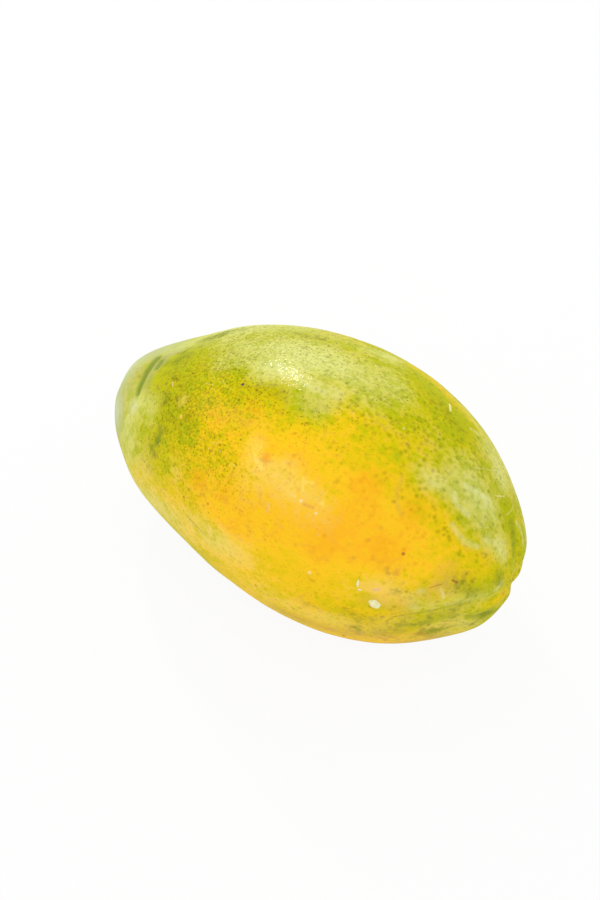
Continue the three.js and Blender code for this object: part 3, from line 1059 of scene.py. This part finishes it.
class PapayaStageSettings(PropertyGroup):
    """Floor, light and camera."""

    floor_colour: colour_property("Floor", "Pale floor, as it lights the fruit", "#f6f6f6")
    backdrop_colour: colour_property("Backdrop", "Background that the camera sees", "#fefefe")
    key_power: FloatProperty(
        name="Key power", description="Power of the soft lamp above and behind",
        default=2.6, min=0, unit="POWER")
    key_size: FloatProperty(
        name="Key size", description="Width of the square lamp",
        default=0.07, min=0.01, unit="LENGTH")
    key_distance: FloatProperty(
        name="Key distance", description="From the top of the fruit to the lamp",
        default=1.0, min=0.1, unit="LENGTH")
    fill: FloatProperty(
        name="Fill", description="Even light from all around", default=1.0, min=0, soft_max=2)
    azimuth: FloatProperty(
        name="Azimuth", description="Camera angle around the fruit, from the front",
        default=math.radians(38.083), subtype="ANGLE")
    elevation: FloatProperty(
        name="Elevation", description="Camera angle above the ground",
        default=math.radians(48), subtype="ANGLE")
    distance: FloatProperty(
        name="Distance", description="From the aim to the camera",
        default=0.80495, min=0.1, precision=4, unit="LENGTH")
    lens: FloatProperty(
        name="Lens", description="Focal length", default=70, min=10, unit="CAMERA")
    aim: FloatVectorProperty(
        name="Aim", description="What the camera points at",
        default=(-0.00921, 0.00364, 0.06576), precision=5, subtype="TRANSLATION", unit="LENGTH")


# --- Operators, one for each piece and one for the stage ---

class PAPAYA_OT_grow_skin(Operator):
    """Grow the whole skin of the fruit in place of the frame's solid"""

    bl_idname = "papaya.grow_skin"
    bl_label = "Grow skin"

    def execute(self, context):
        settings = context.scene.papaya_skin
        station, bearing = skin_grid(settings.rings, settings.columns)
        points = skin_points(station, bearing)
        faces = skin_faces(settings.rings, settings.columns)
        skin = mesh_object("papaya_skin", points.tolist(), faces, skin_material(settings))
        paint_skin(skin, station, bearing)
        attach(skin, BODY)
        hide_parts(NODE)
        return {"FINISHED"}


class PAPAYA_OT_dry_latex(Operator):
    """Add the drops of latex that have dried on the skin"""

    bl_idname = "papaya.dry_latex"
    bl_label = "Dry latex"

    def execute(self, context):
        points, faces = [], []
        for drop in LATEX_DROPS:
            dome_points, dome_faces = latex_dome(drop)
            faces += [tuple(corner + len(points) for corner in face) for face in dome_faces]
            points += dome_points
        material = latex_material(context.scene.papaya_latex)
        latex = mesh_object("latex_drops", points, faces, material)
        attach(latex, BODY)
        return {"FINISHED"}


def heading(azimuth, elevation):
    """The direction seen at an angle around the fruit, from -Y towards +X, and above the ground."""
    return Vector((
        math.sin(azimuth) * math.cos(elevation),
        -math.cos(azimuth) * math.cos(elevation),
        math.sin(elevation),
    ))


def shows_background(wiring):
    """1 for rays that should see the plain background: from the camera, or off gloss or glass."""
    path = wiring.node("ShaderNodeLightPath")
    rays = wiring.add(*(path.outputs[name] for name in (
        "Is Camera Ray", "Is Glossy Ray", "Is Transmission Ray")))
    return wiring.math("MINIMUM", rays, 1.0)


def floor_material(settings):
    """Pale floor that glows almost white to the camera and still shows a shadow."""
    material = new_material("pale_floor")
    wiring = Wiring(material.node_tree)
    matt = wiring.node("ShaderNodeBsdfDiffuse", {"Color": settings.floor_colour})
    glow = wiring.node("ShaderNodeEmission", {"Color": settings.backdrop_colour, "Strength": 1.0})
    share = wiring.math("MULTIPLY", shows_background(wiring), FLOOR_GLOW)
    mixed = wiring.node("ShaderNodeMixShader", {"Fac": share})
    wiring.feed(mixed.inputs[1], matt.outputs[0])
    wiring.feed(mixed.inputs[2], glow.outputs[0])
    wiring.surface(mixed)
    return material


def light_world(scene, fill):
    """Even light all around, and plain white behind the floor."""
    world = bpy.data.worlds.new("soft_room")
    world.use_nodes = True
    wiring = Wiring(world.node_tree)
    strength = wiring.add(
        fill, wiring.math("MULTIPLY", shows_background(wiring), 1.0 - fill))
    background = wiring.node("ShaderNodeBackground", {"Color": (1, 1, 1), "Strength": strength})
    wiring.surface(background, "World")
    scene.world = world


class PAPAYA_OT_set_stage(Operator):
    """Set the floor, the lights and the camera"""

    bl_idname = "papaya.set_stage"
    bl_label = "Set stage"

    def execute(self, context):
        scene = context.scene
        settings = scene.papaya_stage
        corners = [
            (x * FLOOR_REACH, y * FLOOR_REACH, GROUND)
            for x, y in ((-1, -1), (1, -1), (1, 1), (-1, 1))
        ]
        floor = mesh_object("floor", corners, [(0, 1, 2, 3)], floor_material(settings))

        lamp = bpy.data.lights.new("key", "AREA")
        lamp.energy = settings.key_power
        lamp.size = settings.key_size
        key = bpy.data.objects.new("key", lamp)
        towards_key = heading(math.radians(KEY_AZIMUTH), math.radians(KEY_ELEVATION))
        key.location = place(*KEY_HIGHLIGHT) + towards_key * settings.key_distance
        key.rotation_euler = towards_key.to_track_quat("Z", "Y").to_euler()
        scene.collection.objects.link(key)
        light_world(scene, settings.fill)

        lens = bpy.data.cameras.new("camera")
        lens.lens = settings.lens
        camera = bpy.data.objects.new("camera", lens)
        towards_camera = heading(settings.azimuth, settings.elevation)
        camera.location = Vector(settings.aim) + towards_camera * settings.distance
        camera.rotation_euler = towards_camera.to_track_quat("Z", "Y").to_euler()
        scene.collection.objects.link(camera)
        scene.camera = camera
        scene.view_settings.view_transform = "Standard"
        return {"FINISHED"}


class PAPAYA_PT_maker(Panel):
    """Lists the steps that make the papaya, with their settings"""

    bl_label = "Papaya"
    bl_idname = "PAPAYA_PT_maker"
    bl_space_type = "VIEW_3D"
    bl_region_type = "UI"
    bl_category = "Papaya"

    def draw(self, context):
        for operator, group in STEPS:
            box = self.layout.box()
            settings = getattr(context.scene, group)
            for name in settings.bl_rna.properties.keys():
                if name not in ("rna_type", "name"):
                    box.prop(settings, name)
            box.operator(operator.bl_idname)


# Each step with the name its settings have on the scene.
STEPS = (
    (PAPAYA_OT_grow_skin, "papaya_skin"),
    (PAPAYA_OT_dry_latex, "papaya_latex"),
    (PAPAYA_OT_set_stage, "papaya_stage"),
)
GROUPS = {
    "papaya_skin": PapayaSkinSettings,
    "papaya_latex": PapayaLatexSettings,
    "papaya_stage": PapayaStageSettings,
}
CLASSES = (*GROUPS.values(), *(operator for operator, _ in STEPS), PAPAYA_PT_maker)


def register():
    for cls in CLASSES:
        bpy.utils.register_class(cls)
    for name, group in GROUPS.items():
        setattr(bpy.types.Scene, name, PointerProperty(type=group))


def unregister():
    for name in GROUPS:
        delattr(bpy.types.Scene, name)
    for cls in reversed(CLASSES):
        bpy.utils.unregister_class(cls)


def main():
    register()
    bpy.ops.papaya.grow_skin()
    bpy.ops.papaya.dry_latex()
    bpy.ops.papaya.set_stage()


if __name__ == "__main__":
    main()
